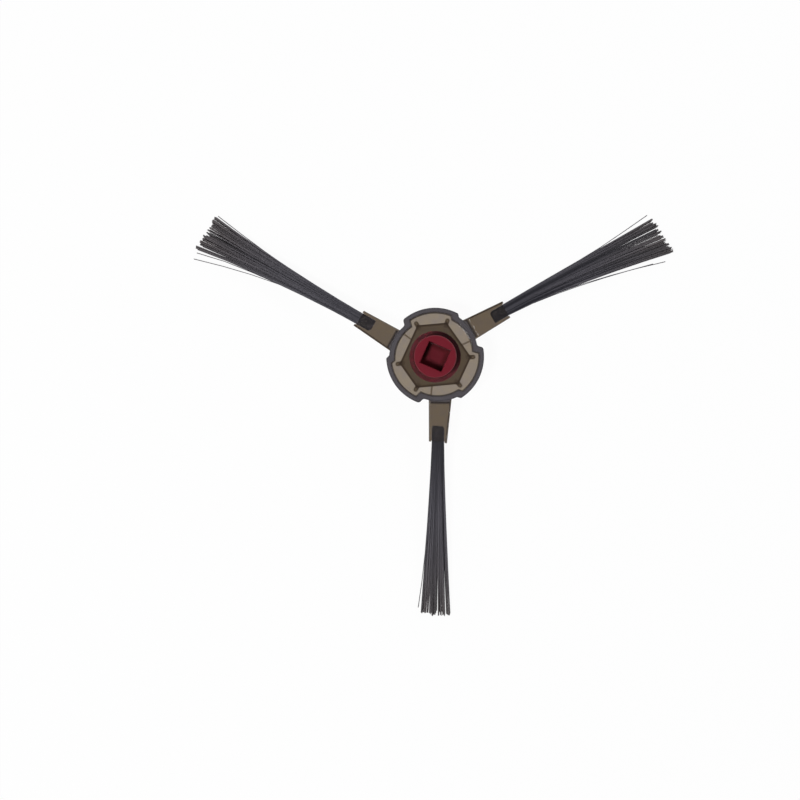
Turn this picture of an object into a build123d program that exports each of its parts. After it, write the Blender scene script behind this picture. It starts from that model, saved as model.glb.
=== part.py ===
from build123d import *
import math
import os

os.makedirs("parts", exist_ok=True)

# Side brush of a robot vacuum, the hand whose hub is red. Millimetres, +Z towards the drive.
# The origin is on the drive axis at the underside of the disc. Along an arm, u runs outwards,
# v runs across it to its counter-clockwise side, and z stays upright.

# Disc and skirt
arm_count = 3
first_arm_deg = 30.0
lobe_radius = 15.75
floor_thickness = 1.3
skirt_height = 4.6
skirt_wall = 1.4
bay_wall = 1.6
skirt_draft_deg = 7.0
skirt_outer_chamfer = 0.3
skirt_inner_chamfer = 0.2
underside_chamfer = 0.45

# Notches beside each arm: angles are from the arm's direction
lead_notch_deg = -19.0
trail_notch_deg = 32.0
notch_slant_deg = 3.5
notch_reach_deg = 7.0
lead_bay_radius = 14.0
arm_bay_radius = 14.45
trail_bay_radius = 14.8
lead_notch_round = 1.0
trail_notch_round = 0.45

# Six-sided boss that grips the hub, with a lug on each corner and a rib at each arm
boss_height = 2.5
boss_corner_radius = 11.6
boss_lead_corner_deg = -30.5
boss_trail_corner_deg = 41.0
boss_chamfer = 0.2
lug_reach = 13.0
lug_width = 1.4
lug_length = 3.2
lug_height = 2.9
lug_dimple_sides = 8
lug_dimple_radius = 0.36
lug_dimple_depth = 0.6
rib_deg = -6.0
rib_thickness = 0.55
rib_height = 2.2
rib_overlap = 0.5

# Drive hub
hub_radius = 6.85
hub_top = 9.0
hub_chamfer = 0.25
hub_skin = 0.6
flange_radius = 8.3
flange_thickness = 0.8
flange_skin = 0.9
socket_width = 7.5
socket_depth = 7.0
socket_draft_deg = 2.0
socket_lead_in = 0.25
socket_turn_deg = -23.7
dimple_radius = 1.7
dimple_depth = 0.3
hub_clearance = 0.04

# Arms
arm_reach = 27.6
arm_root_lead = -1.8
arm_root_trail = 5.45
arm_tip_lead = -1.55
arm_tip_trail = 4.3
arm_thickness = 2.0
arm_overlap = 1.1
arm_root_z = 1.5
arm_droop_deg = 8.0
arm_round = 0.5
rail_width = 0.55
rail_rise = 0.6
rail_round = 0.2
gusset_radius = 1.9
gusset_sink = 0.02
prong_length = 0.4
prong_width = 0.75
end_slant = 0.5

# Fused root of a tuft, and its pocket in the arm's end
root_width = 4.1
root_depth = 5.0
root_thickness = 1.3
root_corner_round = 1.3
root_edge_round = 0.35
root_overhang = 1.0
root_clearance = 0.04

# Filaments: rows one above the other, columns across the fan
columns = 13
rows = 5
row_step = 4
filament_size = 0.22
filament_margin = 0.03
knee_share = 0.55
knee_pinch = 0.9
knee_rise = 0.4
tip_thickness = 2.3
tip_height = -9.4
tip_wander = 0.18
tip_ragged = 1.8

# Turns, in radians per column and row, of the waves that make the tips uneven and let them wander
uneven_column_turn = 3.7
uneven_row_turn = 7.9
wander_column_turn = 5.1
wander_row_turn = 2.3

# Each tuft: place in the ring of arms, the sideways set its arm has taken, how far along the arm
# its tips reach, how far across it their middle lies, and how wide they fan
tufts = {
    "right": {"order": 0, "set_deg": 0.7, "reach": 82.4, "offset": -4.1, "fan": 12.0},
    "left": {"order": 1, "set_deg": 0.3, "reach": 83.4, "offset": 1.75, "fan": 10.7},
    "lower": {"order": 2, "set_deg": -0.9, "reach": 83.0, "offset": 1.5, "fan": 9.2},
}
# Filaments that stray from the fan: which one, the share of its length where it leaves, where it ends
strays = {
    "right": [
        {"column": columns - 1, "row": 4, "leave": 0.5, "reach": 82.4, "offset": 4.4},
        {"column": 0, "row": 1, "leave": 0.35, "reach": 80.3, "offset": -11.6},
    ],
    "left": [
        {"column": 0, "row": 4, "leave": 0.45, "reach": 83.6, "offset": -4.9},
        {"column": columns - 1, "row": 1, "leave": 0.45, "reach": 83.9, "offset": 11.1},
    ],
    "lower": [
        {"column": columns - 1, "row": 3, "leave": 0.5, "reach": 81.5, "offset": 7.4},
    ],
}

arm_pitch_deg = 360 / arm_count
droop_slope = math.tan(math.radians(arm_droop_deg))
mouth_u = arm_reach - prong_length
mouth_v = (arm_tip_lead + arm_tip_trail) / 2


def polar(radius, angle_deg):
    """Point of the disc's plane at a radius and an angle from +X."""
    angle = math.radians(angle_deg)
    return (radius * math.cos(angle), radius * math.sin(angle))


def around(shape):
    """One copy of a shape for each arm, turned about the drive axis."""
    return [Rot(0, 0, first_arm_deg + arm * arm_pitch_deg) * shape for arm in range(arm_count)]


def disc_outline(inset, bay_inset):
    """Outline of the disc: a lobe between each two arms, and a stepped-in bay at each arm."""
    sweep = math.degrees(inset / arm_bay_radius)
    lead = lead_notch_deg - sweep
    trail = trail_notch_deg + sweep
    lobe = lobe_radius - inset
    edges = []
    for arm in range(arm_count):
        here = first_arm_deg + arm * arm_pitch_deg
        next_lead = here + arm_pitch_deg + lead
        lead_corner = polar(lobe, here + lead)
        lead_bay = polar(lead_bay_radius - bay_inset, here + lead + notch_slant_deg)
        middle = polar(arm_bay_radius - bay_inset, here + (lead + trail) / 2)
        trail_bay = polar(trail_bay_radius - bay_inset, here + trail - notch_slant_deg)
        trail_corner = polar(lobe, here + trail)
        crest = polar(lobe, (here + trail + next_lead) / 2)
        edges.append(Line(lead_corner, lead_bay))
        edges.append(ThreePointArc(lead_bay, middle, trail_bay))
        edges.append(Line(trail_bay, trail_corner))
        edges.append(ThreePointArc(trail_corner, crest, polar(lobe, next_lead)))
    return make_face(edges)


def beside(notch_deg):
    """Test for a corner of the outline: whether it belongs to the notch at that angle from an arm."""

    def near(corner):
        angle = math.degrees(math.atan2(corner.Y, corner.X)) - first_arm_deg - notch_deg
        turned = (angle + arm_pitch_deg / 2) % arm_pitch_deg - arm_pitch_deg / 2
        return abs(turned) < notch_reach_deg

    return near


def dish():
    """Floor of the disc with the skirt that stands round it, thicker at its foot than at its rim."""
    face = disc_outline(0, 0)
    face = fillet(face.vertices().filter_by(beside(trail_notch_deg)), trail_notch_round)
    face = fillet(face.vertices().filter_by(beside(lead_notch_deg)), lead_notch_round)
    outside = extrude(face, skirt_height)
    outside = chamfer(outside.edges().group_by(Axis.Z)[-1], skirt_outer_chamfer)
    outside = chamfer(outside.edges().group_by(Axis.Z)[0], underside_chamfer)
    depth = skirt_height - floor_thickness
    thicker = depth * math.tan(math.radians(skirt_draft_deg))
    hollow = disc_outline(skirt_wall + thicker, bay_wall + thicker)
    inside = Pos(0, 0, floor_thickness) * extrude(hollow, depth, taper=-skirt_draft_deg)
    shell = outside - inside
    rim = shell.faces().sort_by(Axis.Z)[-1]
    return chamfer(rim.inner_wires()[0].edges(), skirt_inner_chamfer)


def boss():
    """Solid six-sided boss: its long sides face the arms and its short sides face the lobes."""
    corners = []
    for arm in range(arm_count):
        here = first_arm_deg + arm * arm_pitch_deg
        corners.append(polar(boss_corner_radius, here + boss_lead_corner_deg))
        corners.append(polar(boss_corner_radius, here + boss_trail_corner_deg))
    block = extrude(make_face(Polyline(*corners, close=True)), boss_height)
    return chamfer(block.edges().group_by(Axis.Z)[-1], boss_chamfer)


def lug(corner_deg):
    """Round-ended lug on a corner of the boss, with a dimple in its top, along +X turned to the corner."""
    centre = lug_reach - lug_length / 2
    body = Pos(centre, 0) * extrude(SlotOverall(lug_length, lug_width), lug_height)
    end = centre + (lug_length - lug_width) / 2
    dimple = Pos(end, 0, lug_height) * RegularPolygon(lug_dimple_radius, lug_dimple_sides)
    return Rot(0, 0, corner_deg) * (body - extrude(dimple, -lug_dimple_depth))


def rib():
    """Upright rib across the trough, from the boss to the skirt."""
    half_side = math.radians(boss_trail_corner_deg - boss_lead_corner_deg) / 2
    start = boss_corner_radius * math.cos(half_side) - rib_overlap
    end = lead_bay_radius - bay_wall / 2
    block = Pos((start + end) / 2, 0, rib_height / 2) * Box(end - start, rib_thickness, rib_height)
    return Rot(0, 0, rib_deg) * block


def hub_profile(grow):
    """Half section of the hub's outside, grown on every side."""
    bottom = hub_skin - grow
    flange_low = flange_skin - grow
    flange_high = flange_skin + flange_thickness + grow
    barrel = hub_radius + grow
    rim = flange_radius + grow
    top = hub_top + grow
    points = [
        (0, bottom),
        (barrel, bottom),
        (barrel, flange_low),
        (rim, flange_low),
        (rim, flange_high),
        (barrel, flange_high),
        (barrel, top),
        (0, top),
    ]
    return Plane.XZ * make_face(Polyline(*points, close=True))


def drive_hub():
    """Flanged hub with a blind square socket for the drive shaft."""
    body = revolve(hub_profile(0), Axis.Z)
    body = chamfer(body.edges().group_by(Axis.Z)[-1], hub_chamfer)
    mouth = Pos(0, 0, hub_top) * Rectangle(socket_width, socket_width)
    socket = extrude(mouth, -socket_depth, taper=socket_draft_deg)
    wide = Rectangle(socket_width + 2 * socket_lead_in, socket_width + 2 * socket_lead_in)
    narrow = Pos(0, 0, -socket_lead_in) * Rectangle(socket_width, socket_width)
    lead_in = Pos(0, 0, hub_top) * loft([wide.face(), narrow.face()])
    body -= Rot(0, 0, socket_turn_deg) * (socket + lead_in)
    floor = hub_top - socket_depth
    return body - Pos(0, 0, floor - dimple_depth / 2) * Cylinder(dimple_radius, dimple_depth)


def arm_middle(u):
    """Height of the arm's middle at a distance u from the drive axis."""
    return arm_root_z - max(0.0, u - arm_bay_radius) * droop_slope


def arm_side(u, root, tip):
    """How far across the arm one of its sides lies at u: it runs straight from skirt to end."""
    return root + (tip - root) * (u - arm_bay_radius) / (arm_reach - arm_bay_radius)


def arm_bar(start, stop, low, high, width=None):
    """Bar along the arm, from its trailing side across a width, or else to its leading side."""
    corners = []
    for u in (start, stop):
        trail = arm_side(u, arm_root_trail, arm_tip_trail)
        lead = arm_side(u, arm_root_lead, arm_tip_lead)
        near_side = lead if width is None else trail - width
        corners.append([(u - arm_bay_radius, near_side), (u - arm_bay_radius, trail)])
    outline = Polyline(corners[0][0], corners[1][0], corners[1][1], corners[0][1], close=True)
    return Pos(0, 0, low) * extrude(make_face(outline), high - low)


def root_frame():
    """Frame at the mouth of an arm's pocket: X outwards along the droop, Z up from the arm."""
    return Plane(
        origin=(mouth_u, mouth_v, arm_middle(mouth_u)),
        x_dir=(1, 0, -droop_slope),
        z_dir=(droop_slope, 0, 1),
    )


def root_block(shrink):
    """Fused root of a tuft, shrunk on every side, with rounded inner corners, out past the mouth."""
    width = root_width - 2 * shrink
    thickness = root_thickness - 2 * shrink
    low = shrink - root_depth
    high = root_overhang
    block = Pos((low + high) / 2, 0) * Rectangle(high - low, width)
    block = fillet(block.vertices().group_by(Axis.X)[0].sort_by(Axis.Y)[0:1], root_edge_round)
    block = fillet(block.vertices().group_by(Axis.Y)[-1].sort_by(Axis.X)[0:1], root_corner_round)
    return root_frame() * extrude(Pos(0, 0, -thickness / 2) * block, thickness)


def arm():
    """One drooping, tapering arm along +X, from inside the skirt to its forked end, with its rail."""
    start = arm_bay_radius - arm_overlap
    stop = arm_reach + arm_overlap
    half = arm_thickness / 2
    bar = arm_bar(start, stop, -half, half)
    long = bar.edges().sort_by(SortBy.LENGTH)[-4:].group_by(Axis.Z)
    lead_top = long[-1].sort_by(Axis.Y)[0]
    bar = fillet([*long[0], lead_top], arm_round)
    rail = arm_bar(start, stop, 0, half + rail_rise, rail_width)
    rail = fillet(rail.edges().sort_by(SortBy.LENGTH)[-4:].group_by(Axis.Z)[-1], rail_round)
    slope = Plane(
        origin=(arm_bay_radius, 0, arm_root_z),
        x_dir=(1, 0, -droop_slope),
        z_dir=(droop_slope, 0, 1),
    )
    return slope * (bar + rail) + gusset(start) - arm_end()


def gusset(start):
    """Hollow round between the top of the arm and the skirt, tangent to both."""
    droop = math.radians(arm_droop_deg)
    top = arm_root_z + arm_thickness / 2 / math.cos(droop) - gusset_sink
    centre_u = arm_bay_radius + gusset_radius
    centre_z = top - gusset_radius * droop_slope + gusset_radius / math.cos(droop)

    def on_arc(angle):
        return (centre_u - gusset_radius * math.cos(angle), centre_z - gusset_radius * math.sin(angle))

    turn = math.pi / 2 - droop
    foot = on_arc(turn)
    outline = [
        ThreePointArc(on_arc(0), on_arc(turn / 2), foot),
        Polyline(foot, (foot[0], arm_root_z), (start, arm_root_z), (start, centre_z), on_arc(0)),
    ]
    web = Plane.XZ * make_face(outline)
    width = arm_root_trail - arm_root_lead - 2 * arm_round
    block = extrude(web, width / 2, both=True)
    return Pos(0, (arm_root_trail + arm_root_lead) / 2, 0) * block


def arm_end():
    """What is cut off the end of an arm: a slanted end with a shallow bay between two prongs."""
    width = arm_tip_trail - arm_tip_lead
    far = arm_reach + width
    lead = arm_tip_lead - prong_width
    trail = arm_tip_trail + prong_width
    bay_lead = arm_tip_lead + prong_width
    bay_trail = arm_tip_trail - prong_width

    def end_at(v, back=0.0):
        return (arm_reach + end_slant * (v - mouth_v) / width - back, v)

    outline = Polyline(
        end_at(lead),
        end_at(bay_lead),
        end_at(bay_lead, prong_length),
        end_at(bay_trail, prong_length),
        end_at(bay_trail),
        end_at(trail),
        (far, trail),
        (far, lead),
        close=True,
    )
    return extrude(make_face(outline), arm_reach, both=True)


def brush_base():
    """The moulding: dish, boss, lugs, ribs and arms, less the hub's seat and the tufts' pockets."""
    body = dish() + boss()
    for corner in (boss_lead_corner_deg, boss_trail_corner_deg):
        body += around(lug(corner))
    body += around(rib())
    for tuft in tufts.values():
        angle = first_arm_deg + tuft["order"] * arm_pitch_deg + tuft["set_deg"]
        body += Rot(0, 0, angle) * arm()
        body -= Rot(0, 0, angle) * root_block(0)
    return body - revolve(hub_profile(hub_clearance), Axis.Z)


def between(start, end, share):
    """Point at a share of the way from one point to another."""
    return tuple(a + (b - a) * share for a, b in zip(start, end))


def filament(*points):
    """Straight runs of one filament through points (u, v, z), square in section across the arm."""
    runs = []
    for near, far in zip(points, points[1:]):
        along = Vector(*far) - Vector(*near)
        across = Plane(origin=near, x_dir=(0, 1, 0), z_dir=(1, 0, 0))
        runs.append(extrude(across * Rectangle(filament_size, filament_size), along.length, dir=along))
    return runs


def filament_root(column, row):
    """Where a filament leaves the fused root: each row is shifted by a part of the columns' pitch."""
    free_width = root_width - 2 * root_clearance - 2 * filament_margin - filament_size
    free_height = root_thickness - 2 * root_clearance - 2 * filament_margin - filament_size
    across = (column + row_shift(row)) / (columns - 1 + row_shift(1))
    up = row / (rows - 1)
    return (
        mouth_u,
        mouth_v + (across - 0.5) * free_width,
        arm_middle(mouth_u) + (up - 0.5) * free_height,
    )


def row_shift(row):
    """Sideways shift of a row, in columns, so that the rows fill each other's gaps."""
    return (row * row_step % rows) / rows


def filament_tip(shape, column, row):
    """Where a filament of the fan ends: spread sideways, uneven in length, the lowest row on one level."""
    across = (column + row_shift(row)) / (columns - 1 + row_shift(1)) - 0.5
    uneven = math.sin(uneven_column_turn * column + uneven_row_turn * row)
    wander = math.sin(wander_column_turn * column + wander_row_turn * row)
    return (
        shape["reach"] + uneven * tip_ragged / 2,
        shape["offset"] + across * shape["fan"] + wander * tip_wander,
        tip_height + filament_size / 2 + row * tip_thickness / (rows - 1),
    )


def tuft(name):
    """Tuft of one arm, built along +X: its fused root and the filaments that fan out from it."""
    shape = tufts[name]
    block = split(root_block(root_clearance), Plane((mouth_u, 0, 0), z_dir=(1, 0, 0)), keep=Keep.BOTTOM)
    runs = []
    for column in range(columns):
        for row in range(rows):
            root = filament_root(column, row)
            tip = filament_tip(shape, column, row)
            knee = between(root, tip, knee_share)
            middle = mouth_v + (shape["offset"] - mouth_v) * knee_share
            knee = (knee[0], middle + (knee[1] - middle) * knee_pinch, knee[2] + knee_rise)
            for stray in strays[name]:
                if (column, row) == (stray["column"], stray["row"]):
                    knee = between(root, knee, stray["leave"] / knee_share)
                    tip = (stray["reach"], stray["offset"], tip[2])
            runs += filament(root, knee, tip)
    return block.fuse(*runs, glue=True)


parts = {"brush_base": brush_base(), "drive_hub": drive_hub()}
for name, place in tufts.items():
    turn = first_arm_deg + place["order"] * arm_pitch_deg + place["set_deg"]
    parts["tuft_" + name] = Rot(0, 0, turn) * tuft(name)

for node, shape in parts.items():
    export_step(shape, "parts/" + node + ".step")
    print(node, round(shape.volume, 1), "mm3")
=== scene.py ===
"""Side brush of a robot vacuum: a smoke-coloured moulding, a red hub and three tufts of dark bristles."""

import math
import random

import bmesh
import bpy
from bpy.props import (
    CollectionProperty,
    FloatProperty,
    FloatVectorProperty,
    IntProperty,
    PointerProperty,
    StringProperty,
)
from mathutils import Matrix, Vector


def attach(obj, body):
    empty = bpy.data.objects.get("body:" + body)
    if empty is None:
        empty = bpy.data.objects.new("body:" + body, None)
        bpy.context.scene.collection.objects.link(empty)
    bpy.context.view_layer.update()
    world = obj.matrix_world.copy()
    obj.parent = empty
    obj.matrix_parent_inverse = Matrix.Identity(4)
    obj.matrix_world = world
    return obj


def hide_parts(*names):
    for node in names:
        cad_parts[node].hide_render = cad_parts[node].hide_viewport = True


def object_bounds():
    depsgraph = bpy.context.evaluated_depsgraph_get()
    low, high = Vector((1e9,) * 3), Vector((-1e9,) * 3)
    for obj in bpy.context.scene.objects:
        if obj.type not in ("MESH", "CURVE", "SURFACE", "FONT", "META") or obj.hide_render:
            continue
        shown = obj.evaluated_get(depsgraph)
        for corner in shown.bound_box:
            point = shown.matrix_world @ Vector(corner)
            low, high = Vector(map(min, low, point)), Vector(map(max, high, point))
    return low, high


bl_info = {
    "name": "Side brush",
    "version": (1, 0, 0),
    "blender": (4, 5, 0),
    "location": "3D View > Sidebar > Side brush",
    "description": "Finishes the moulding and the hub of a side brush, and makes its tufts and its stage",
    "category": "Object",
}

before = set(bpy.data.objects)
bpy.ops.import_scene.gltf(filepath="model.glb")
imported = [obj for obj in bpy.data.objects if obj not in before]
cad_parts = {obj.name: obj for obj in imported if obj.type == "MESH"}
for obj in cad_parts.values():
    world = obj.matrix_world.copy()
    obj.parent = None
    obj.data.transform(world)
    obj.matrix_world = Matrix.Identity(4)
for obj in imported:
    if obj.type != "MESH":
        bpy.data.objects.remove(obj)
cad_low, cad_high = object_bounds()

MM = 0.001
BODY = "root"

# The arms' directions, and each tuft's own bend: how far it is turned from its arm, how far out its tips
# reach, how far across its middle lies there, how wide it fans and how late it starts to. Here and in the
# next tables, directions are in degrees and lengths in millimetres
ARM_DIRECTIONS = {"right": 30.0, "left": 150.0, "lower": 270.0}
TUFTS = {
    "right": {"set_deg": 0.7, "reach": 83.3, "offset": -3.8, "fan": 13.1, "flare": 1.45},
    "left": {"set_deg": 0.3, "reach": 84.2, "offset": 1.95, "fan": 12.4, "flare": 1.85},
    "lower": {"set_deg": -0.9, "reach": 83.0, "offset": 1.5, "fan": 9.8, "flare": 1.4},
}
# Filaments that leave the fan: the share of their length at which they do, and how far along and across the
# arm their tips lie
STRAYS = {
    "right": [(0.58, 82.9, 4.4), (0.40, 80.3, -11.6), (0.48, 76.5, -10.2)],
    "left": [(0.50, 83.9, -4.9), (0.49, 83.9, 11.1), (0.80, 84.0, 8.9)],
    "lower": [(0.70, 81.5, -4.1)],
}
# The boss has a side beside each arm and one between two arms: how far the middle of a side is turned from
# its arm, and its distance from the drive axis
BOSS_SIDES = ((5.25, 9.41), (65.25, 10.58))

# Refraction of the two plastics
CLEAR_IOR = 1.49
NYLON_IOR = 1.53

# Angles from which on an edge looks hard, and from which on the root's edges are rounded
MOULDED_EDGE_DEG = 38.0
ROOT_EDGE_DEG = 40.0
ROUNDED_EDGE_DEG = 60.0

# How unevenly a tuft is packed, in filament spacings, and how unevenly its clumps lie, in clump spacings
PACKING = 0.2
CLUMP_DRIFT = 0.32
# Empty rim of the fused root beside its filaments, in filament diameters
ROOT_RIM = 1.6

# Where the sky starts to dim towards the zenith and where it is dimmest, as the Z of a direction
DIM_START = 0.7
DIM_FULL = 0.95

# Lamps: where they stand in metres, their side in metres, their power and their tint
WHITE = (1.0, 1.0, 1.0)
DAYLIGHT = (0.95, 0.97, 1.0)
LAMPS = {
    "key": ((-0.30, -0.19, 0.98), 0.18, 0.56, WHITE),
    "fill": ((0.48, 0.52, 0.72), 0.40, 0.26, DAYLIGHT),
    "side": ((-0.75, -0.30, 0.45), 0.40, 0.10, DAYLIGHT),
}


def length(name, description, millimetres, **settings):
    """A length that the panel shows with its unit."""
    return FloatProperty(
        name=name,
        description=description,
        default=millimetres * MM,
        subtype="DISTANCE",
        unit="LENGTH",
        precision=5,
        **settings,
    )


def colour(name, description, value):
    """A colour that the panel shows as a swatch."""
    return FloatVectorProperty(
        name=name, description=description, default=value, size=3, min=0.0, max=1.0, subtype="COLOR"
    )


def share(name, description, value):
    """A number from nought to one that the panel shows as a slider."""
    return FloatProperty(
        name=name, description=description, default=value, min=0.0, max=1.0, subtype="FACTOR"
    )


def angle(name, description, degrees=0.0):
    """An angle that the panel shows in degrees."""
    return FloatProperty(
        name=name, description=description, default=math.radians(degrees), subtype="ANGLE", unit="ROTATION"
    )


class Number:
    """A socket of a shader that takes part in sums: each operator adds a Math node."""

    def __init__(self, shading, socket):
        self.shading = shading
        self.socket = socket

    def sum(self, operation, first, second):
        return self.shading.node("ShaderNodeMath", {"operation": operation}, {0: first, 1: second})

    def __add__(self, other):
        return self.sum("ADD", self, other)

    def __sub__(self, other):
        return self.sum("SUBTRACT", self, other)

    def __rsub__(self, other):
        return self.sum("SUBTRACT", other, self)

    def __mul__(self, other):
        return self.sum("MULTIPLY", self, other)

    def __pow__(self, other):
        return self.sum("POWER", self, other)

    __radd__ = __add__
    __rmul__ = __mul__


class Shading:
    """The nodes of one material or world."""

    def __init__(self, owner):
        owner.use_nodes = True
        self.owner = owner
        self.nodes = owner.node_tree.nodes
        self.links = owner.node_tree.links
        self.nodes.clear()

    def node(self, kind, settings=None, inputs=None, output=0):
        """Adds a node, sets it up, fills or links its inputs, and gives the output asked for."""
        node = self.nodes.new(kind)
        for name, value in (settings or {}).items():
            setattr(node, name, value)
        for name, value in (inputs or {}).items():
            if isinstance(value, Number):
                self.links.new(value.socket, node.inputs[name])
            else:
                node.inputs[name].default_value = value
        return Number(self, node.outputs[output]) if node.outputs else None

    def mix(self, factor, first, second):
        """Mixes two colours."""
        return self.node("ShaderNodeMix", {"data_type": "RGBA"}, {0: factor, 6: first, 7: second}, 2)

    def remap(self, value, low, high, first=0.0, last=1.0, soft=True):
        """Goes from the first level to the last while a value goes from low to high, softly or in a line."""
        settings = {"interpolation_type": "SMOOTHSTEP" if soft else "LINEAR"}
        return self.node("ShaderNodeMapRange", settings, {0: value, 1: low, 2: high, 3: first, 4: last})

    def axis(self, vector, number):
        """One of the three numbers of a vector."""
        return self.node("ShaderNodeSeparateXYZ", inputs={0: vector}, output=number)

    def size(self, value):
        """A number without its sign."""
        return self.node("ShaderNodeMath", {"operation": "ABSOLUTE"}, {0: value})

    def larger(self, first, second):
        """The larger of two numbers."""
        return self.node("ShaderNodeMath", {"operation": "MAXIMUM"}, {0: first, 1: second})

    def vector(self, operation, inputs, output=0):
        """A sum on vectors. Its output 0 is a vector and its output 1 is a number."""
        return self.node("ShaderNodeVectorMath", {"operation": operation}, inputs, output)

    def place(self):
        """The object's own coordinates, in metres."""
        return self.node("ShaderNodeTexCoord", output=3)

    def climb(self, low, high):
        """Nought below one height of the object, one above another, and a soft step between them."""
        return self.remap(self.axis(self.place(), 2), low, high)

    def steepness(self, low, high):
        """Nought on level faces and one on upright ones, by how much of the normal's Z the slope takes."""
        normal = self.node("ShaderNodeNewGeometry", output=1)
        return self.remap(1.0 - self.size(self.axis(normal, 2)), low, high)

    def squareness(self, turn, near, far):
        """Nought inside a square round the drive axis, one outside a larger one, both turned by an angle."""
        turned = self.node("ShaderNodeMapping", inputs={0: self.place(), 2: (0.0, 0.0, turn)})
        outer = self.larger(self.size(self.axis(turned, 0)), self.size(self.axis(turned, 1)))
        return self.remap(outer, near, far)

    def past_sides(self, sides):
        """How far a place lies past a prism's sides, which are given by direction and distance."""
        farthest = None
        for direction, distance in sides:
            outward = (math.cos(direction), math.sin(direction), 0.0)
            past = self.vector("DOT_PRODUCT", {0: self.place(), 1: outward}, 1) - distance
            farthest = past if farthest is None else self.larger(farthest, past)
        return farthest

    def spread(self, near, far):
        """Nought near the drive axis, one far from it, and a soft step between the two distances."""
        flat = self.vector("MULTIPLY", {0: self.place(), 1: (1.0, 1.0, 0.0)})
        return self.remap(self.vector("LENGTH", {0: flat}, 1), near, far)

    def noise(self, scale, detail=2.0, roughness=0.5, stretch=(1.0, 1.0, 1.0)):
        """Noise on the object's own coordinates, in cycles for each metre."""
        stretched = self.node("ShaderNodeMapping", inputs={0: self.place(), 3: stretch})
        values = {"Vector": stretched, "Scale": scale, "Detail": detail, "Roughness": roughness}
        return self.node("ShaderNodeTexNoise", inputs=values)

    def bump(self, height, distance):
        """Surface normal with a height on it, whose full range is the distance."""
        return self.node("ShaderNodeBump", inputs={"Strength": 1.0, "Distance": distance, "Height": height})

    def plastic(self, **inputs):
        """A Principled shader. Its inputs are written with underscores for spaces."""
        named = {name.replace("_", " "): value for name, value in inputs.items()}
        return self.node("ShaderNodeBsdfPrincipled", inputs=named)

    def blend(self, factor, first, second):
        """Mixes two shaders."""
        return self.node("ShaderNodeMixShader", inputs={0: factor, 1: first, 2: second})


def new_material(name):
    """An empty material of that name, in place of one that is there."""
    old = bpy.data.materials.get(name)
    if old is not None:
        bpy.data.materials.remove(old)
    return Shading(bpy.data.materials.new(name))


def opaque(tint):
    """A colour with full alpha."""
    return (*tint, 1.0)


def boss_outline_shade(shading, settings):
    """One on the boss's sides, and less the further a place lies inside or outside of them: the mask of a
    painted shade along the boss's edge.
    """
    sides = [
        (math.radians(arm + turn), distance * MM)
        for arm in ARM_DIRECTIONS.values()
        for turn, distance in BOSS_SIDES
    ]
    past = shading.past_sides(sides)
    inner = shading.remap(past, -settings.outline_start, -settings.outline_full)
    outer = shading.remap(past, 0.0, settings.outline_past, 1.0, 0.0)
    return inner * outer * settings.outline


def smoke_material(settings):
    """See-through smoke plastic that takes light by its depth, is milky at its rim and lets lamps through,
    with painted shade on its upright sides and along the boss's edge.
    """
    shading = new_material("smoke_plastic")
    flow = shading.noise(scale=140.0, detail=3.0, stretch=(1.0, 1.0, 0.4))
    grain = shading.noise(scale=5200.0, detail=1.0)
    lumps = shading.noise(scale=420.0, detail=3.0, roughness=0.6)
    cloud = shading.remap(lumps, 0.35, 0.65, soft=False)
    skin = shading.bump(flow * 0.7 + grain * 0.3, settings.smoke_bump)
    clouded = shading.mix(cloud, opaque(settings.warm_tint), opaque(settings.cool_tint))
    clear = shading.plastic(
        # Painted shade along the boss's edge darkens the clear plastic's colour there
        Base_Color=shading.mix(boss_outline_shade(shading, settings), clouded, opaque(settings.outline_shade_tint)),
        Roughness=0.04 + flow * 0.10,
        IOR=CLEAR_IOR,
        Transmission_Weight=1.0,
        Normal=skin,
    )
    milky = shading.plastic(
        Base_Color=shading.mix(flow, opaque(settings.haze_colour), opaque(settings.pale_haze_colour)),
        Roughness=0.16 + flow * 0.14,
        IOR=CLEAR_IOR,
        Normal=skin,
    )
    # Painted shade: a dark matt surface without shine that is laid on the upright sides and edges, where they
    # would look dark
    edge = shading.plastic(
        Base_Color=opaque(settings.side_shade_colour),
        Roughness=0.3 + flow * 0.15,
        Specular_IOR_Level=0.0,
        Normal=skin,
    )
    rim = shading.climb(settings.haze_low, settings.haze_high)
    haze = settings.haze + rim * (settings.rim_haze - settings.haze)
    # The upright sides and edges take that painted shade
    side = shading.steepness(0.10, 0.35) * settings.side_shade
    body = shading.blend(side, shading.blend(haze, clear, milky), edge)
    lamp_ray = shading.node("ShaderNodeLightPath", output="Is Shadow Ray")
    surface = shading.blend(lamp_ray, body, shading.node("ShaderNodeBsdfTransparent"))
    depth = shading.node(
        "ShaderNodeVolumeAbsorption", inputs={"Color": opaque(settings.tint), "Density": settings.density}
    )
    shading.node("ShaderNodeOutputMaterial", inputs={"Surface": surface, "Volume": depth})
    return shading.owner


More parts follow.
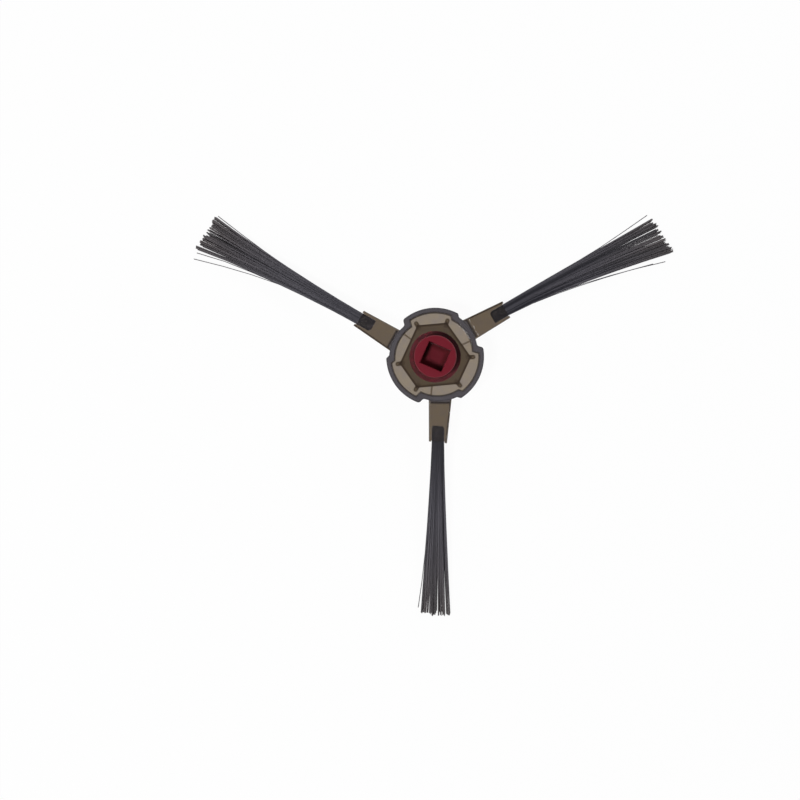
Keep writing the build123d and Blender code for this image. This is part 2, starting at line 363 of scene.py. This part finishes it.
def red_material(settings):
    """Crimson plastic with a soft shine and a faint grain, with painted shade in its socket's corners and on
    its upright sides and painted light on its flange.
    """
    shading = new_material("red_plastic")
    cloud = shading.noise(scale=420.0, detail=3.0)
    grain = shading.noise(scale=6500.0, detail=2.0)
    level = shading.mix(cloud, opaque(settings.colour), opaque(settings.pale_colour))
    # Painted shade: the socket's floor darkens towards its square sides and corners, below the hub's top
    below_top = 1.0 - shading.climb(settings.socket_shade_top, settings.socket_shade_end)
    corner = shading.squareness(settings.socket_turn, settings.floor_shade_start, settings.floor_shade_full) * below_top
    floor = shading.mix(corner, level, opaque(settings.hub_shade_colour))
    # Painted shade on the hub's upright sides
    sides = shading.mix(shading.steepness(0.5, 0.9), floor, opaque(settings.hub_shade_colour))
    # Painted light: the flange under the boss gets a paler, pinker colour for the light that reaches it
    # through the boss
    flange_light_mask = shading.spread(settings.flange_start, settings.flange_full)
    skin = shading.plastic(
        Base_Color=shading.mix(flange_light_mask, sides, opaque(settings.flange_painted_light)),
        Roughness=0.12 + grain * 0.12,
        IOR=CLEAR_IOR,
        Normal=shading.bump(cloud * 0.3 + grain * 0.7, settings.hub_bump),
    )
    shading.node("ShaderNodeOutputMaterial", inputs={"Surface": skin})
    return shading.owner


def bristle_material(settings):
    """Charcoal nylon: each filament has its own grey, which drifts along it and pales towards its tip, with
    painted shade near the root that is stronger on the lower tuft.
    """
    shading = new_material("bristle")
    strand = shading.node("ShaderNodeAttribute", {"attribute_name": "strand"}, output="Fac")
    along = shading.node("ShaderNodeAttribute", {"attribute_name": "along"}, output="Fac")
    drift_place = shading.node("ShaderNodeCombineXYZ", inputs={0: strand * 40.0, 1: along * 5.0})
    drift = shading.node("ShaderNodeTexNoise", inputs={"Vector": drift_place, "Scale": 1.0, "Detail": 2.0})
    shade = shading.remap(strand, 0.28, 0.62) * 0.75 + drift * 0.25
    body = shading.mix(shade, opaque(settings.dark_colour), opaque(settings.pale_colour))
    # Painted shade: the filaments darken towards their roots, and the lower tuft's twice as much
    ahead = shading.axis(shading.place(), 1)
    lower = shading.remap(ahead, settings.lower_shade_start, settings.lower_shade_full, soft=False)
    near = shading.remap(along, 0.0, settings.root_shade_end, settings.root_shade, 0.0, soft=False)
    root_shaded = shading.mix(near * (1.0 + lower), body, opaque(settings.dark_colour))
    worn = shading.mix(strand, opaque(settings.tip_colour), opaque(settings.brown_colour))
    skin = shading.plastic(
        Base_Color=shading.mix(along ** 3.0 * settings.tip_wear, root_shaded, worn),
        Roughness=0.5 + drift * 0.2,
        IOR=NYLON_IOR,
        Specular_IOR_Level=0.3,
    )
    shading.node("ShaderNodeOutputMaterial", inputs={"Surface": skin})
    return shading.owner


def fused_material(settings):
    """The same nylon where the filaments are melted together: darker, matt and uneven."""
    shading = new_material("fused_bristle")
    lumps = shading.noise(scale=900.0, detail=3.0)
    skin = shading.plastic(
        Base_Color=shading.mix(lumps, opaque(settings.fused_colour), opaque(settings.dark_colour)),
        Roughness=0.55 + lumps * 0.2,
        IOR=NYLON_IOR,
        Specular_IOR_Level=0.2,
        Normal=shading.bump(lumps, settings.root_bump),
    )
    shading.node("ShaderNodeOutputMaterial", inputs={"Surface": skin})
    return shading.owner


def new_piece(name, mesh, material):
    """Puts a finished mesh into the scene as a piece of the brush."""
    old = bpy.data.objects.get(name)
    if old is not None:
        bpy.data.objects.remove(old)
    piece = bpy.data.objects.new(name, mesh)
    bpy.context.scene.collection.objects.link(piece)
    mesh.materials.clear()
    mesh.materials.append(material)
    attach(piece, BODY)
    return piece


def mark_edges(shape, angle_deg):
    """Shades a bmesh smooth, with a hard line where two faces meet at more than the angle."""
    limit = math.radians(angle_deg)
    for face in shape.faces:
        face.smooth = True
    for edge in shape.edges:
        edge.smooth = len(edge.link_faces) == 2 and edge.calc_face_angle(0.0) < limit


def smooth_copy(node):
    """A copy of a CAD node's mesh with its triangles joined and its rounds shaded smooth."""
    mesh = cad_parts[node].data.copy()
    shape = bmesh.new()
    shape.from_mesh(mesh)
    bmesh.ops.remove_doubles(shape, verts=shape.verts, dist=0.001 * MM)
    mark_edges(shape, MOULDED_EDGE_DEG)
    shape.to_mesh(mesh)
    shape.free()
    if mesh.has_custom_normals:
        mesh.attributes.remove(mesh.attributes["custom_normal"])
    return mesh


def weigh_normals(piece):
    """Keeps the large faces flat and gives the narrow rounds between them all of the turn."""
    modifier = piece.modifiers.new("weighted_normals", "WEIGHTED_NORMAL")
    modifier.mode = "FACE_AREA"
    modifier.keep_sharp = True


class TuftShape(bpy.types.PropertyGroup):
    """Where one tuft points and how it spreads."""

    name: StringProperty(name="Name", description="Which arm holds the tuft")
    turn: angle("Turn", "Direction of the arm, from +X")
    reach: length("Reach", "Distance of the tips from the drive axis", 83.0)
    offset: length("Offset", "How far across the arm the middle of the tips lies", 1.5)
    fan: length("Fan", "Width of the tuft at its tips", 10.0)
    flare: FloatProperty(
        name="Flare", description="How late the tuft starts to spread", default=1.5, min=1.0, max=4.0
    )


class SmokeSettings(bpy.types.PropertyGroup):
    """Finish of the moulding."""

    tint: colour("Tint", "Colour that is left of white light deep in the plastic", (0.32, 0.235, 0.11))
    density: FloatProperty(
        name="Density",
        description="How strongly the plastic takes light, for each metre",
        default=1400.0,
        min=0.0,
    )
    warm_tint: colour("Warm tint", "Tint of the warmer clouds in the plastic", (1.0, 0.965, 0.90))
    cool_tint: colour("Cool tint", "Tint of the cooler clouds in the plastic", (0.90, 0.89, 0.97))
    # The outline is painted shade: a darker tint along the six-sided boss's edge, where its sides would look
    # dark
    outline_shade_tint: colour("Outline tint", "Tint of the six-sided boss along its edge", (0.35, 0.27, 0.20))
    outline: share("Outline", "How strong that tint is", 0.8)
    outline_start: length("Outline start", "How far inside the boss's sides that tint starts", 0.9)
    outline_full: length("Outline full", "How far inside the boss's sides that tint is full", 0.25)
    outline_past: length("Outline past", "How far outside the boss's sides that tint ends", 0.12)
    haze_colour: colour("Haze colour", "Colour of the light that the plastic scatters", (0.28, 0.265, 0.30))
    pale_haze_colour: colour("Pale haze colour", "The same in its paler flows", (0.364, 0.3445, 0.39))
    haze: share("Haze", "Share of the light that the plastic scatters in its disc and arms", 0.02)
    rim_haze: share("Rim haze", "Share of the light that it scatters at the top of its skirt", 0.25)
    haze_low: length("Haze low", "Height where the skirt starts to look milky", 2.7)
    haze_high: length("Haze high", "Height where the skirt is as milky as its rim", 4.4)
    # Painted shade on the plastic's upright sides and edges, and how much of them it covers
    side_shade_colour: colour("Edge colour", "Colour of the plastic's dark sides and edges", (0.036, 0.031, 0.034))
    side_shade: share("Edge haze", "Share of the light that the sides and edges keep to themselves", 0.55)
    smoke_bump: length("Smoke bump", "Height of the flow marks and grain on the moulding", 0.02)


class HubSettings(bpy.types.PropertyGroup):
    """Finish of the hub."""

    colour: colour("Colour", "Main colour of the hub", (0.158, 0.009, 0.018))
    pale_colour: colour("Pale colour", "Colour of the paler clouds in the hub", (0.178, 0.012, 0.024))
    # Colour of the painted shade on the hub's upright sides and in its socket's corners
    hub_shade_colour: colour("Side colour", "Colour of the hub's upright sides", (0.095, 0.003, 0.007))
    # Painted light: a paler colour on the flange under the boss, and where it starts and where it is full
    flange_painted_light: colour("Flange colour", "Colour of the flange under the boss", (0.24, 0.035, 0.070))
    flange_start: length("Flange start", "Distance from the drive axis where that colour starts", 6.9)
    flange_full: length("Flange full", "Distance from the drive axis where that colour is full", 7.2)
    socket_turn: angle("Socket turn", "How far the socket's sides are turned from +X", 23.7)
    # Where the painted shade on the socket's floor starts and where it is full, and up to which height it
    # reaches
    floor_shade_start: length("Floor clear", "How far from the drive axis the socket's floor stays clear", 1.7)
    floor_shade_full: length("Floor dark", "How far from the drive axis the socket's floor is darkest", 3.2)
    socket_shade_top: length("Socket dark top", "Height up to which the socket is darkened", 7.5)
    socket_shade_end: length("Socket dark end", "Height above which the hub isn't darkened", 8.5)
    hub_bump: length("Hub bump", "Height of the grain on the hub", 0.006)


class BristleSettings(bpy.types.PropertyGroup):
    """Sizes and colours of the bristles."""

    columns: IntProperty(name="Columns", description="Filaments side by side in a tuft", default=34, min=2)
    rows: IntProperty(name="Rows", description="Layers of filaments in a tuft", default=8, min=2)
    clumps: IntProperty(name="Clumps", description="Bunches that the tips gather in", default=14, min=2)
    joints: IntProperty(name="Joints", description="Points along a filament", default=7, min=3)
    diameter: length("Diameter", "Thickness of one filament", 0.20)
    root_scale: FloatProperty(name="Root scale", description="Its thickness at the root", default=0.8, min=0.1)
    tip_scale: FloatProperty(name="Tip scale", description="Its thickness at the tip", default=1.3, min=0.1)
    bow: length("Bow", "How far a filament swings out halfway", 0.12)
    ragged: length("Ragged", "How unevenly the tips are cut", 2.2)
    tip_level: length("Tip level", "Height of the lowest tips", -9.4)
    tip_depth: length("Tip depth", "Height of the tuft at its tips", 2.3)
    mouth_reach: length("Mouth reach", "Distance of an arm's pocket mouth from the drive axis", 27.2)
    mouth_offset: length("Mouth offset", "How far across the arm the pocket's middle lies", 1.375)
    mouth_level: length("Mouth level", "Height of the pocket's middle at its mouth", -0.292)
    droop: angle("Droop", "Fall of the arm", 8.0)
    root_width: length("Root width", "Width of the fused root", 4.02)
    root_depth: length("Root depth", "How far the fused root goes into the arm", 4.96)
    root_thickness: length("Root thickness", "Thickness of the fused root", 1.22)
    root_round: length("Root round", "Radius of the root's inner corner on the trailing side", 1.26)
    root_small_round: length("Root small round", "Radius of the root's other inner corner", 0.315)
    root_edge: length("Root edge", "Radius of the root's other edges", 0.12)
    root_bump: length("Root bump", "Height of the lumps on the fused root", 0.04)
    # Painted shade near the filaments' roots, stronger on the lower tuft
    root_shade: share("Root dark", "How much the filaments are darkened at the root", 0.42)
    root_shade_end: share("Root dark end", "Share of a filament's length that is darkened", 0.42)
    lower_shade_start: length("Lower start", "Y where the lower tuft starts to be darkened more", -20.0)
    lower_shade_full: length("Lower full", "Y where the lower tuft is darkened twice as much", -26.0)
    tip_wear: share("Tip wear", "How much a filament's tip has faded", 0.7)
    fused_colour: colour("Fused colour", "Colour of the melted root", (0.010, 0.010, 0.014))
    dark_colour: colour("Dark colour", "Colour of the darkest filaments", (0.008, 0.008, 0.014))
    pale_colour: colour("Pale colour", "Colour of the palest filaments", (0.108, 0.103, 0.122))
    tip_colour: colour("Tip colour", "Colour that dark filaments' tips fade to", (0.085, 0.082, 0.088))
    brown_colour: colour("Brown colour", "Colour that pale filaments' tips fade to", (0.150, 0.125, 0.115))


class StageSettings(bpy.types.PropertyGroup):
    """Camera, lamps and floor."""

    view_width: length("View width", "Width of what the camera sees at the drive's height", 258.4)
    view_x: length("View X", "Where the camera looks, along X", -11.3)
    view_y: length("View Y", "Where the camera looks, along Y", -13.95)
    camera_height: length("Camera height", "Distance of the camera above the brush", 1200.0)
    floor_side: length("Floor side", "Side of the floor", 4000.0)
    floor_glow: share("Floor glow", "Share of the floor that is plain white to the camera", 0.95)
    floor_colour: colour("Floor colour", "Colour of the floor to the light that falls on it", (0.9, 0.9, 0.9))
    floor_gap: length("Floor gap", "How far below the brush the floor lies", 0.05)
    world_level: share("World level", "Light from all round", 0.30)
    zenith_level: share("Zenith level", "Light from straight above, where the camera hangs", 0.03)
    through_level: share("Through level", "Light that is added to what shows through the clear plastic", 0.1)


def arm_matrix(turn, bristles):
    """Places a tuft that is modelled at its mouth, along +X and upright, in its arm."""
    mouth = Matrix.Translation((bristles.mouth_reach, bristles.mouth_offset, bristles.mouth_level))
    return Matrix.Rotation(turn, 4, "Z") @ mouth


def root_mesh(bristles, turn):
    """Fused root: a flat block with one large and one small round at its inner end."""
    shape = bmesh.new()
    bmesh.ops.create_cube(shape, size=1.0)
    scale = Vector((bristles.root_depth, bristles.root_width, bristles.root_thickness))
    bmesh.ops.scale(shape, vec=scale, verts=shape.verts)
    bmesh.ops.translate(shape, vec=(-bristles.root_depth / 2, 0, 0), verts=shape.verts)

    def upright(edge):
        near, far = (vertex.co for vertex in edge.verts)
        return abs(near.z - far.z) > bristles.root_thickness / 2 and near.x < -bristles.root_depth / 2

    def round_off(edges, radius, segments):
        bmesh.ops.bevel(
            shape, geom=edges, offset=radius, segments=segments, profile=0.5, affect="EDGES", material=-1
        )

    other, trailing = sorted((e for e in shape.edges if upright(e)), key=lambda e: e.verts[0].co.y)
    round_off([trailing], bristles.root_round, 10)
    round_off([other], bristles.root_small_round, 4)
    sharp = [e for e in shape.edges if e.calc_face_angle(0.0) > math.radians(ROUNDED_EDGE_DEG)]
    round_off(sharp, bristles.root_edge, 2)
    mark_edges(shape, ROOT_EDGE_DEG)
    place = arm_matrix(turn, bristles) @ Matrix.Rotation(bristles.droop, 4, "Y")
    bmesh.ops.transform(shape, matrix=place, verts=shape.verts)
    mesh = bpy.data.meshes.new("tuft_root")
    shape.to_mesh(mesh)
    shape.free()
    return mesh


def filament_ends(bristles, dice):
    """Root and tip of each filament as shares of the fan's width and height, how far out it ends, its shade.

    The tips gather in clumps, and each filament is drawn some of the way to the middle of the nearest one.
    """
    middles = [
        (number + 0.5 + dice.uniform(-CLUMP_DRIFT, CLUMP_DRIFT)) / bristles.clumps - 0.5
        for number in range(bristles.clumps)
    ]
    levels = [dice.uniform(-0.5, 0.5) for _ in middles]
    reaches = [dice.uniform(-0.5, 0.5) for _ in middles]
    shades = [dice.random() for _ in middles]
    ends = []
    for column in range(bristles.columns):
        for row in range(bristles.rows):
            staggered = column + 0.5 * (row % 2) + dice.uniform(-PACKING, PACKING)
            across = staggered / (bristles.columns - 0.5) - 0.5
            up = (row + dice.uniform(-PACKING, PACKING)) / (bristles.rows - 1) - 0.5
            wish = across + dice.gauss(0, 0.03)
            clump = min(range(bristles.clumps), key=lambda k: abs(middles[k] - wish))
            # How firmly the clump draws this filament's tip to its own middle
            hold = dice.uniform(0.35, 0.95)
            tip_across = across + (middles[clump] - across) * hold + dice.gauss(0, 0.006)
            tip_up = up + (levels[clump] - up) * 0.5 * hold
            reach = 0.55 * reaches[clump] + dice.uniform(-0.3, 0.3)
            shade = 0.85 * shades[clump] + 0.15 * dice.random()
            ends.append((across, up, tip_across, tip_up, reach, shade))
    return ends


def filament_path(tuft, bristles, end, dice):
    """Points of one filament in its arm's frame, from inside its root to its tip."""
    across, up, tip_across, tip_up, reach = end[:5]
    inner = bristles.root_thickness - ROOT_RIM * bristles.diameter
    start = Vector((0, across * (bristles.root_width - bristles.diameter), up * inner))
    radius = bristles.diameter / 2
    tip = Vector(
        (
            tuft.reach + reach * bristles.ragged - bristles.mouth_reach,
            tuft.offset + tip_across * tuft.fan - bristles.mouth_offset,
            bristles.tip_level + radius + (tip_up + 0.5) * bristles.tip_depth - bristles.mouth_level,
        )
    )
    fall = -math.tan(bristles.droop) * tip.x
    bow = dice.gauss(0, bristles.bow)
    points = []
    for number in range(bristles.joints):
        part = number / (bristles.joints - 1)
        y = start.y + (tip.y - start.y) * part**tuft.flare + bow * math.sin(math.pi * part)
        z = start.z + fall * part + (tip.z - start.z - fall) * part**2
        points.append(Vector((tip.x * part, y, z)))
    return points


def stray_path(tuft, bristles, stray):
    """Points of a filament that leaves the fan's edge on its own."""
    leave, reach, offset = stray
    side = 0.5 if offset * MM > tuft.offset else -0.5
    edge_end = tuft.offset + side * tuft.fan - bristles.mouth_offset
    start = side * (bristles.root_width - ROOT_RIM * bristles.diameter)
    far = reach * MM - bristles.mouth_reach
    drop = bristles.tip_level + bristles.tip_depth / 2 - bristles.mouth_level
    points = []
    for number in range(bristles.joints):
        part = number / (bristles.joints - 1)
        edge = start + (edge_end - start) * part**tuft.flare
        gone = max(0.0, part - leave) / (1 - leave)
        away = (offset * MM - bristles.mouth_offset - edge_end) * gone**1.3
        points.append(Vector((far * part, edge + away, drop * part)))
    return points


def strand_curve(name, paths, bristles):
    """Curve with one round filament for each path."""
    curve = bpy.data.curves.new(name, "CURVE")
    curve.dimensions = "3D"
    curve.bevel_depth = bristles.diameter / 2
    curve.bevel_resolution = 1
    curve.use_fill_caps = True
    for path in paths:
        spline = curve.splines.new("POLY")
        spline.points.add(len(path) - 1)
        for number, (point, place) in enumerate(zip(spline.points, path)):
            point.co = (*place, 1.0)
            grown = (bristles.tip_scale - bristles.root_scale) * number / (len(path) - 1)
            point.radius = bristles.root_scale + grown
    return curve


def filaments_mesh(tuft, bristles, seed):
    """All filaments of a tuft, each with its own shade and its share of the way to the tip."""
    dice = random.Random(seed)
    ends = filament_ends(bristles, dice)
    paths = [filament_path(tuft, bristles, end, dice) for end in ends]
    paths += [stray_path(tuft, bristles, stray) for stray in STRAYS[tuft.name]]
    curve = strand_curve("strands", paths, bristles)
    carrier = bpy.data.objects.new("strands", curve)
    mesh = bpy.data.meshes.new_from_object(carrier)
    bpy.data.objects.remove(carrier)
    bpy.data.curves.remove(curve)
    each = len(mesh.vertices) // len(paths)
    shades = [end[5] for end in ends] + [0.5 for _ in STRAYS[tuft.name]]
    far = max(vertex.co.x for vertex in mesh.vertices)
    strand = mesh.attributes.new("strand", "FLOAT", "POINT")
    strand.data.foreach_set("value", [shades[vertex.index // each] for vertex in mesh.vertices])
    along = mesh.attributes.new("along", "FLOAT", "POINT")
    along.data.foreach_set("value", [max(0.0, vertex.co.x / far) for vertex in mesh.vertices])
    mesh.transform(arm_matrix(tuft.turn, bristles))
    return mesh


class SIDEBRUSH_OT_moulding(bpy.types.Operator):
    """Finishes the smoke-coloured moulding: its disc, skirt, boss and arms"""

    bl_idname = "sidebrush.moulding"
    bl_label = "Moulding"

    def execute(self, context):
        material = smoke_material(context.scene.side_brush_smoke)
        piece = new_piece("moulding", smooth_copy("brush_base"), material)
        weigh_normals(piece)
        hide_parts("brush_base")
        return {"FINISHED"}


class SIDEBRUSH_OT_hub(bpy.types.Operator):
    """Finishes the red hub with its square socket"""

    bl_idname = "sidebrush.hub"
    bl_label = "Hub"

    def execute(self, context):
        material = red_material(context.scene.side_brush_hub)
        piece = new_piece("socket_hub", smooth_copy("drive_hub"), material)
        weigh_normals(piece)
        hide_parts("drive_hub")
        return {"FINISHED"}


class SIDEBRUSH_OT_tufts(bpy.types.Operator):
    """Makes the three tufts: a fused root in the arm's pocket, and the filaments that fan out from it"""

    bl_idname = "sidebrush.tufts"
    bl_label = "Tufts"

    def execute(self, context):
        bristles = context.scene.side_brush_bristles
        material = bristle_material(bristles)
        fused = fused_material(bristles)
        for seed, tuft in enumerate(context.scene.side_brush_tufts):
            node = "tuft_" + tuft.name
            block = root_mesh(bristles, tuft.turn)
            fan = filaments_mesh(tuft, bristles, seed)
            root = new_piece("fused_root_" + tuft.name, block, fused)
            strands = new_piece("filaments_" + tuft.name, fan, material)
            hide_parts(node)
            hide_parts(node)
        return {"FINISHED"}


def floor_material(settings):
    """Floor that is nearly plain white to the camera and keeps a light shadow."""
    shading = new_material("floor")
    camera_ray, mirror_ray, glass_ray = (
        shading.node("ShaderNodeLightPath", output=name)
        for name in ("Is Camera Ray", "Is Glossy Ray", "Is Transmission Ray")
    )
    matt = shading.node("ShaderNodeBsdfDiffuse", inputs={"Color": opaque(settings.floor_colour)})
    glow = shading.node("ShaderNodeEmission", inputs={"Strength": 1.0})
    surface = shading.blend((camera_ray + mirror_ray + glass_ray) * settings.floor_glow, matt, glow)
    shading.node("ShaderNodeOutputMaterial", inputs={"Surface": surface})
    return shading.owner


def add_floor(settings):
    """A large square floor just below the brush."""
    shape = bmesh.new()
    bmesh.ops.create_grid(shape, x_segments=1, y_segments=1, size=settings.floor_side / 2)
    bmesh.ops.translate(shape, vec=(0, 0, cad_low.z - settings.floor_gap), verts=shape.verts)
    mesh = bpy.data.meshes.new("floor")
    shape.to_mesh(mesh)
    shape.free()
    mesh.materials.append(floor_material(settings))
    floor = bpy.data.objects.new("floor", mesh)
    bpy.context.scene.collection.objects.link(floor)


def add_world(settings):
    """Even light from all round, dim straight above, and plain white to the camera."""
    world = bpy.data.worlds.new("studio")
    bpy.context.scene.world = world
    shading = Shading(world)
    seen = shading.node("ShaderNodeLightPath", output="Is Camera Ray")
    through = shading.node("ShaderNodeLightPath", output="Is Transmission Ray")
    height = shading.axis(shading.node("ShaderNodeTexCoord"), 2)
    around = shading.remap(height, DIM_START, DIM_FULL, settings.world_level, settings.zenith_level)
    level = seen * (1.0 - around) + through * settings.through_level + around
    sky = shading.node("ShaderNodeBackground", inputs={"Strength": level})
    shading.node("ShaderNodeOutputWorld", inputs={"Surface": sky})


def add_lamp(name, place, side, power, tint):
    """A square soft lamp that points at the brush. With a power of 1 it lights white paper to white."""
    lamp = bpy.data.lights.new(name, "AREA")
    lamp.size = side
    lamp.color = tint
    lamp.energy = power * (math.pi * Vector(place).length) ** 2
    stand = bpy.data.objects.new(name, lamp)
    stand.location = place
    stand.rotation_mode = "QUATERNION"
    stand.rotation_quaternion = (-Vector(place)).to_track_quat("-Z", "Y")
    bpy.context.scene.collection.objects.link(stand)


def add_camera(settings):
    """A camera that looks straight down from far above, as the photograph does."""
    camera = bpy.data.cameras.new("camera")
    camera.lens = camera.sensor_width * settings.camera_height / settings.view_width
    stand = bpy.data.objects.new("camera", camera)
    stand.location = (settings.view_x, settings.view_y, settings.camera_height)
    bpy.context.scene.collection.objects.link(stand)
    bpy.context.scene.camera = stand


class SIDEBRUSH_OT_stage(bpy.types.Operator):
    """Makes the white floor, the soft lamps and the camera straight above"""

    bl_idname = "sidebrush.stage"
    bl_label = "Stage"

    def execute(self, context):
        settings = context.scene.side_brush_stage
        add_floor(settings)
        add_world(settings)
        for name, lamp in LAMPS.items():
            add_lamp(name, *lamp)
        add_camera(settings)
        context.scene.view_settings.view_transform = "Standard"
        return {"FINISHED"}


class SIDEBRUSH_PT_panel(bpy.types.Panel):
    """Steps that dress the brush, and the sizes and colours they use"""

    bl_idname = "SIDEBRUSH_PT_panel"
    bl_label = "Side brush"
    bl_space_type = "VIEW_3D"
    bl_region_type = "UI"
    bl_category = "Side brush"

    def draw(self, context):
        scene = context.scene
        for step in STEPS:
            self.layout.operator(step.bl_idname)
        for group in (getattr(scene, name) for name in SETTINGS):
            box = self.layout.box()
            for name in group.__annotations__:
                box.prop(group, name)
        for tuft in scene.side_brush_tufts:
            box = self.layout.box()
            for name in tuft.__annotations__:
                box.prop(tuft, name)


STEPS = (SIDEBRUSH_OT_moulding, SIDEBRUSH_OT_hub, SIDEBRUSH_OT_tufts, SIDEBRUSH_OT_stage)
SETTINGS = {
    "side_brush_smoke": SmokeSettings,
    "side_brush_hub": HubSettings,
    "side_brush_bristles": BristleSettings,
    "side_brush_stage": StageSettings,
}
CLASSES = (TuftShape, *SETTINGS.values(), *STEPS, SIDEBRUSH_PT_panel)


def register():
    """Registers the classes and hangs their settings on the scene."""
    for one in CLASSES:
        bpy.utils.register_class(one)
    for name, group in SETTINGS.items():
        setattr(bpy.types.Scene, name, PointerProperty(type=group))
    bpy.types.Scene.side_brush_tufts = CollectionProperty(type=TuftShape)


def unregister():
    """Takes the settings off the scene and the classes out."""
    del bpy.types.Scene.side_brush_tufts
    for name in SETTINGS:
        delattr(bpy.types.Scene, name)
    for one in reversed(CLASSES):
        bpy.utils.unregister_class(one)


def main():
    """Dresses the brush: registers the panel and its settings, sets up the three tufts and runs the four
    steps.
    """
    register()
    for name, shape in TUFTS.items():
        tuft = bpy.context.scene.side_brush_tufts.add()
        tuft.name = name
        tuft.turn = math.radians(ARM_DIRECTIONS[name] + shape["set_deg"])
        tuft.reach = shape["reach"] * MM
        tuft.offset = shape["offset"] * MM
        tuft.fan = shape["fan"] * MM
        tuft.flare = shape["flare"]
    bpy.ops.sidebrush.moulding()
    bpy.ops.sidebrush.hub()
    bpy.ops.sidebrush.tufts()
    bpy.ops.sidebrush.stage()


if __name__ == "__main__":
    main()
